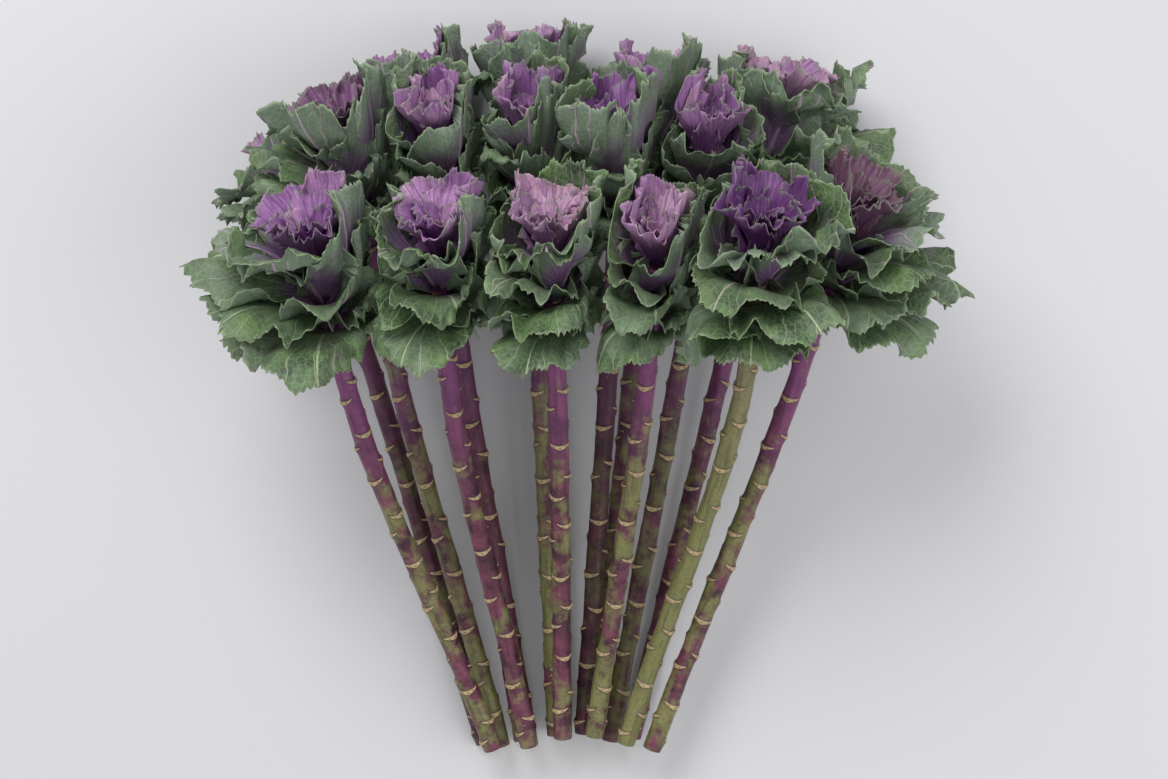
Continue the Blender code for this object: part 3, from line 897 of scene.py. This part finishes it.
def scar_field(lengths, angles, random):
    """Each point's place along and across its nearest scar, how near that is, and how swollen the stem is."""
    above = np.zeros(np.broadcast(lengths, angles).shape)
    across = np.zeros_like(above)
    least = np.full_like(above, 9.0)
    swell = np.zeros_like(above)
    turn = random.uniform(0.0, FULL_TURN)
    for k, centre in enumerate(np.arange(FIRST_SCAR, lengths.max(), SCAR_STEP)):
        centre += random.uniform(-0.003, 0.003)
        angle = turn + k * math.radians(GOLDEN_ANGLE) + random.uniform(-0.2, 0.2)
        round_by = (angles - angle + math.pi) % FULL_TURN - math.pi
        sideways = round_by * VISUAL_RADIUS
        wing = WING_RISE * np.abs(sideways / SCAR_HALF_WIDTH) ** 1.5
        up = lengths - centre - wing
        far = np.maximum(np.abs(up) / 0.0065, np.abs(sideways) / 0.0105)
        closer = far < least
        above[closer] = up[closer]
        across[closer] = np.broadcast_to(sideways, up.shape)[closer]
        least = np.minimum(least, far)
        swelling = np.exp(-(((lengths - centre + 0.001) / SWOLLEN_LENGTH) ** 2))
        swell += swelling * np.exp(-((round_by / SWOLLEN_TURN) ** 2))
    return above, across, np.clip(1.0 - least, 0.0, 1.0), swell


print("leaf scars on one stem:", len(np.arange(FIRST_SCAR, 0.45, SCAR_STEP)))

# %% [markdown]
# ## Rings along the stem
# A curve with a round bevel would make a smooth pipe. Here each point of each ring has a radius of its own,
# from swellings, scars, faint ribs and a slow wobble. Two directions are carried along the route without
# twist, so the rings don't turn against each other.

# %% Build a stem
LIP_HEIGHT = 0.0016
LIP_REACH = 0.0100
LIP_FADE = 0.003
NECK_LENGTH = 0.05


def tube_frames(points):
    """Two unit directions across a curve at each of its points, carried along without twist."""
    ways = np.gradient(points, axis=0)
    ways /= np.linalg.norm(ways, axis=1, keepdims=True)
    first = unit(np.cross(ways[0], (0.0, 0.0, 1.0)))
    firsts = []
    for way in ways:
        first = unit(first - way * (first @ way))
        firsts.append(first)
    firsts = np.array(firsts)
    return firsts, np.cross(ways, firsts)


def even_route(plant):
    """Evenly spaced points from the cut end to the crown, and how far along each one is."""
    route = stem_route(plant, 240)
    upper = np.linspace(route[-1], crown_of(plant), 40)[1:]
    route = np.vstack((route, upper))
    lengths = np.concatenate(((0.0,), np.cumsum(np.linalg.norm(np.diff(route, axis=0), axis=1))))
    even = np.linspace(0.0, lengths[-1], int(lengths[-1] / RING_STEP))
    return np.column_stack([np.interp(even, lengths, route[:, k]) for k in range(3)]), even


def stem_tube(plant, random):
    """Rings of points with scars and swellings, and the facts that the material reads at each point."""
    route, even = even_route(plant)
    first, second = tube_frames(route)
    angles = np.linspace(0.0, FULL_TURN, STEM_SIDES, endpoint=False)[None, :]
    along = even[:, None]
    above, across, near, swell = scar_field(along, angles, random)
    lip = np.exp(-((above / LIP_HEIGHT) ** 2)) * np.clip((LIP_REACH - np.abs(across)) / LIP_FADE, 0.0, 1.0)
    lip = lip * (near > 0.0)
    wobble = 0.00025 * np.sin(3.0 * angles + along / 0.013) + 0.0003 * np.sin(along / 0.021)
    ribs = 0.00015 * np.sin(7.0 * angles + 2.0 * np.sin(along / 0.05))
    radius = VISUAL_RADIUS + wobble + ribs + SWELLING * swell + SCAR_HEIGHT * lip
    radius = radius * (1.0 - 0.25 * np.clip((along - even[-1] + NECK_LENGTH) / NECK_LENGTH, 0.0, 1.0))
    ring = np.cos(angles)[..., None] * first[:, None, :] + np.sin(angles)[..., None] * second[:, None, :]
    points = (route[:, None, :] + radius[..., None] * ring).reshape(-1, 3)
    points[:, 2] = np.maximum(points[:, 2], ABOVE_FLOOR)
    scars = np.column_stack((above.ravel(), across.ravel(), near.ravel()))
    rounds = np.stack(np.broadcast_arrays(np.cos(angles), np.sin(angles), along), axis=-1).reshape(-1, 3)
    return route, points, scars, rounds * (VISUAL_RADIUS, VISUAL_RADIUS, 1.0)


def tube_faces(rings, sides):
    index = np.arange(rings * sides).reshape(rings, sides)
    ahead = np.roll(index, -1, axis=1)
    return index, np.stack((index[:-1], ahead[:-1], ahead[1:], index[1:]), axis=-1).reshape(-1, 4)


print("rings on a 0.45 m stem:", int(0.45 / RING_STEP))

# %% [markdown]
# ## The cut ends
# A knife leaves a flat, pale cut. Rings that step in to the middle close the tube, with the first step small,
# so that smooth shading keeps the edge of the cut crisp.

# %% Close the stem's ends
END_RINGS = (0.97, 0.75, 0.40, 0.05)


def capped_stem(name, plant, random, greenness, dark_tone_and_shade):
    """Closes both ends with rings that step in to the middle, the cut one marked for its pale flesh."""
    route, points, scars, rounds = stem_tube(plant, random)
    index, quads = tube_faces(len(route), STEM_SIDES)
    points, quads, scars = [points], [quads], [scars]
    rounds = [rounds + (0.0, 0.0, PLANTS.index(plant))]
    # Each point carries the stem's greenness, then a darkening that is partly painted shade on the back stems
    # and partly their darker skin, then the mark of the cut end.
    moods = [np.tile((greenness, dark_tone_and_shade, 0.0), (index.size, 1))]
    start = index.size
    for ring, centre, flip in ((index[0], route[0], True), (index[-1], route[-1], False)):
        last = ring
        rim = points[0][ring]
        for share in END_RINGS:
            points.append(centre + (rim - centre) * share)
            scars.append(np.zeros((STEM_SIDES, 3)))
            rounds.append(rounds[0][ring] * (share, share, 1.0))
            moods.append(np.tile((greenness, dark_tone_and_shade, float(flip)), (STEM_SIDES, 1)))
            here = np.arange(start, start + STEM_SIDES)
            band = np.stack((last, np.roll(last, -1), np.roll(here, -1), here), axis=-1)
            quads.append(band[:, ::-1] if flip else band)
            last = here
            start += STEM_SIDES
        half = STEM_SIDES // 2
        left, right = last[:half], last[half:][::-1]
        closing = np.stack((left[:-1], left[1:], right[1:], right[:-1]), axis=-1)
        quads.append(closing[:, ::-1] if flip else closing)
    return mesh_from(name, points, quads, {"stem_scar": scars, "stem_round": rounds, "stem_mood": moods})


print("rings that close an end:", len(END_RINGS))

# %% [markdown]
# ## Scars in the skin
# Cork closes each scar, so the scars are tan and dull, with a dark line round them and up to three dots, the
# sealed ends of the vessels that fed the leaf. The mesh is too coarse for so thin a line. It only carries how
# far each point lies from the middle of its scar, and the material draws the edge from that.

# %% A scar and its dots
DOT_PLACE = 0.0044


def scar_mask(add, above, side, near):
    """1 on a scar, with pointed wings, and how dark the line round it is."""
    half = add("MapRange", {0: side, 1: 0.0, 2: SCAR_HALF_WIDTH, 3: SCAR_HALF_HEIGHT, 4: 0.0004})
    far = add("ABSOLUTE", {0: above})
    far = add("SUBTRACT", {0: far, 1: half})
    past = add("SUBTRACT", {0: side, 1: SCAR_HALF_WIDTH})
    far = add("MAXIMUM", {0: far, 1: past})
    close = add("MapRange", {0: near, 1: 0.02, 2: 0.10})
    scar = add("MapRange", {0: far, 1: -0.0002, 2: 0.0003, 3: 1.0, 4: 0.0})
    halo = add("MapRange", {0: far, 1: 0.0, 2: 0.0026, 3: 1.0, 4: 0.0}, interpolation_type="SMOOTHSTEP")
    return [add("MULTIPLY", {0: mask, 1: close}) for mask in (scar, halo)]


def vessel_dots(add, above, side):
    """Three dark dots on a scar, one in its middle and one on each wing."""
    wing = add("SUBTRACT", {0: side, 1: DOT_PLACE})
    nearest = add("ABSOLUTE", {0: wing})
    nearest = add("MINIMUM", {0: nearest, 1: side})
    spot = add("CombineXYZ", {0: nearest, 1: above})
    away = add("VectorMath", {0: spot}, "Value", operation="LENGTH")
    return add("MapRange", {0: away, 1: 0.0004, 2: 0.0008, 3: 0.75, 4: 0.0})


print("dots on each wing of a scar are", DOT_PLACE * 1000, "mm from its middle")

# %% [markdown]
# ## Stem skin
# Under its head a stem is a bright red-violet. Lower down the skin has aged: purple, olive and brown run into
# each other in clouds a centimetre or two wide, with fine streaks along the stem and dark pores. A waxed skin
# has an IOR near 1.45 and a roughness near 0.45. The mesh's stem_round holds the stem's number plus the
# metres along it, so that each stem has a pattern of its own, and the remainder of a division by one gives
# the metres back.

# %% Scarred kale stem
BRIGHT_STEM = "#8f4a87"
AGED_PURPLE = "#422031"
RED_PURPLE = "#7c4056"
STEM_OLIVE = "#565a2e"
STEM_SAGE = "#a2a966"
STEM_DARK = "#2b171d"
SCAR_EDGE = "#3a1c2c"
CORK_BROWN = "#8d7046"
CORK_TAN = "#d8c49a"
CUT_FLESH = "#d6d8b2"


def scarred_stem_skin():
    material, add, surface = new_material("scarred_stem_skin")
    facts = point_facts(add, "stem_scar", "stem_round", "stem_mood")
    (above, across, near, _), (_, _, along, spot), (greenness, dark_tone_and_shade, cut, _) = facts
    stretched = add("VectorMath", {0: spot, 1: (1.0, 1.0, 0.10)}, operation="MULTIPLY")
    moved = add("VectorMath", {0: spot, 1: (0.3, 0.7, 0.4)}, operation="ADD")
    clouds = ((spot, 0.016, 4.0, 0.6), (spot, 0.0028, 3.0, 0.6))
    clouds += ((stretched, 0.0032, 2.0, 0.5), (moved, 0.022, 4.0, 0.65))
    cloud, fine, streak, patch = [
        add("TexNoise", {"Vector": where, "Scale": 1 / size, "Detail": detail, "Roughness": rough})
        for where, size, detail, rough in clouds
    ]
    cloud = add("MapRange", {0: cloud, 1: 0.36, 2: 0.64})
    height = add("FLOORED_MODULO", {0: along, 1: 1.0})
    top = add("MapRange", {0: height, 1: 0.22, 2: 0.42}, interpolation_type="SMOOTHSTEP")
    patch = add("MULTIPLY_ADD", {0: top, 1: -0.20, 2: patch})
    patch = add("ADD", {0: patch, 1: greenness})
    patch = add("MapRange", {0: patch, 1: 0.48, 2: 0.64})
    stripe = add("MapRange", {0: streak, 1: 0.50, 2: 0.70})
    pore = add("MapRange", {0: fine, 1: 0.62, 2: 0.72})
    side = add("ABSOLUTE", {0: across})
    scar, halo = scar_mask(add, above, side, near)
    dots = vessel_dots(add, above, side)
    green = coated(add, STEM_OLIVE, [(fine, 1.0, STEM_SAGE)])
    cork = coated(add, CORK_BROWN, [(fine, 1.0, CORK_TAN), (dots, 1.0, STEM_DARK)])
    flesh = coated(add, STEM_SAGE, [(fine, 1.0, CUT_FLESH)])
    coats = (
        (cloud, 1.0, RED_PURPLE),
        (top, 0.75, BRIGHT_STEM),
        (patch, 0.80, green),
        (stripe, 0.40, STEM_DARK),
        (pore, 0.45, STEM_DARK),
        # Painted shade: the back stems are darkened, partly for the shade they lie in and partly for their
        # own darker skin.
        (dark_tone_and_shade, 1.0, STEM_DARK),
        (halo, 0.60, SCAR_EDGE),
        (scar, 1.0, cork),
        (cut, 1.0, flesh),
    )
    relief = add("ADD", {0: streak, 1: fine})
    relief = add("Bump", {"Height": relief, "Distance": 0.0006, "Strength": 0.7})
    rough = add("MapRange", {0: fine, 1: 0.3, 2: 0.7, 3: 0.34, 4: 0.56})
    waxed(surface, coated(add, AGED_PURPLE, coats), rough, relief)
    return material


stem_material = scarred_stem_skin()
print("nodes in the stem skin:", len(stem_material.node_tree.nodes))

# %% [markdown]
# ## Put the bunch together
# Each piece takes the place of the solid with the same name, and rides on the one body that the bunch has.

# %% Make every piece
GREEN_STEMS = {"top_5": 0.34, "top_4": 0.10}
for number, plant in enumerate(PLANTS):
    random = np.random.default_rng([77, number])
    greenness = GREEN_STEMS.get(plant.name, random.uniform(-0.06, 0.10))
    # Stems of the middle and bottom rows lie behind and below the top row. Each gets a random darkening that
    # is partly painted shade and partly darker skin. The top row gets none.
    dark_tone_and_shade = 0.0 if plant.name.startswith("top") else random.uniform(0.0, 0.55)
    outer = whorl_mesh(f"ruffled_leaves_{plant.name}", plant, range(HEART_TURNS, LEAF_TURNS))
    new_piece(outer, green_material, f"leaves_{plant.name}")
    heart = whorl_mesh(f"frilled_heart_{plant.name}", plant, range(HEART_TURNS))
    new_piece(heart, purple_material, f"heart_{plant.name}")
    stem = capped_stem(f"scarred_stem_{plant.name}", plant, random, greenness, dark_tone_and_shade)
    new_piece(stem, stem_material, f"stem_{plant.name}")

# %% [markdown]
# ## Floor, light and camera
# A plain pale floor and broad, soft lamps are how cut flowers are photographed for sale. The bunch lies
# down, so the camera looks straight down on it, with the heads at the top of the picture.

# %% Stage
FLOOR_REACH = 6.0
floor_mesh = bpy.data.meshes.new("studio_floor")
corners = [(FLOOR_REACH * x, FLOOR_REACH * y, 0.0) for x, y in ((-1, -1), (1, -1), (1, 1), (-1, 1))]
floor_mesh.from_pydata(corners, [], [(0, 1, 2, 3)])
floor = new_object("studio_floor", floor_mesh)
floor_material, _, floor_surface = new_material("matte_paper_floor")
floor_surface.inputs["Base Color"].default_value = linear("#dadadd")
floor_surface.inputs["Roughness"].default_value = 0.8
floor_mesh.materials.append(floor_material)

world = bpy.data.worlds.new("studio_air")
scene.world = world
world.use_nodes = True
air = world.node_tree.nodes["Background"]
air.inputs["Color"].default_value = linear("#ececee")
air.inputs["Strength"].default_value = 0.72
scene.view_settings.view_transform = "Standard"


def soft_lamp(name, place, aim, size, watts):
    lamp = bpy.data.lights.new(name, "AREA")
    lamp.shape = "DISK"
    lamp.size = size
    lamp.energy = watts
    holder = new_object(name, lamp)
    holder.location = place
    away = Vector(unit(np.array(place) - np.array(aim)))
    holder.rotation_euler = away.to_track_quat("Z", "Y").to_euler()
    print(name, "has", watts, "watts")


soft_lamp("key_lamp", (-0.8, 1.5, 2.2), (0.0, 0.1, 0.1), 1.5, 34)
soft_lamp("fill_lamp", (1.3, -0.4, 2.0), (0.0, 0.0, 0.1), 1.6, 12)

# %% [markdown]
# ## Camera
# A bunch that stands is seen from the side, square to its stems. Laid down, the same view is from straight
# above. The long lens, far off, keeps near and far heads about the same size.

# %% Camera
camera = new_object("camera", bpy.data.cameras.new("camera"))
camera.data.sensor_width = 36.0
camera.data.lens = 87.0
camera.location = (0.0, 0.0, 2.50)
bpy.context.scene.camera = camera
print("camera height:", camera.location.z, "m, lens", camera.data.lens, "mm")
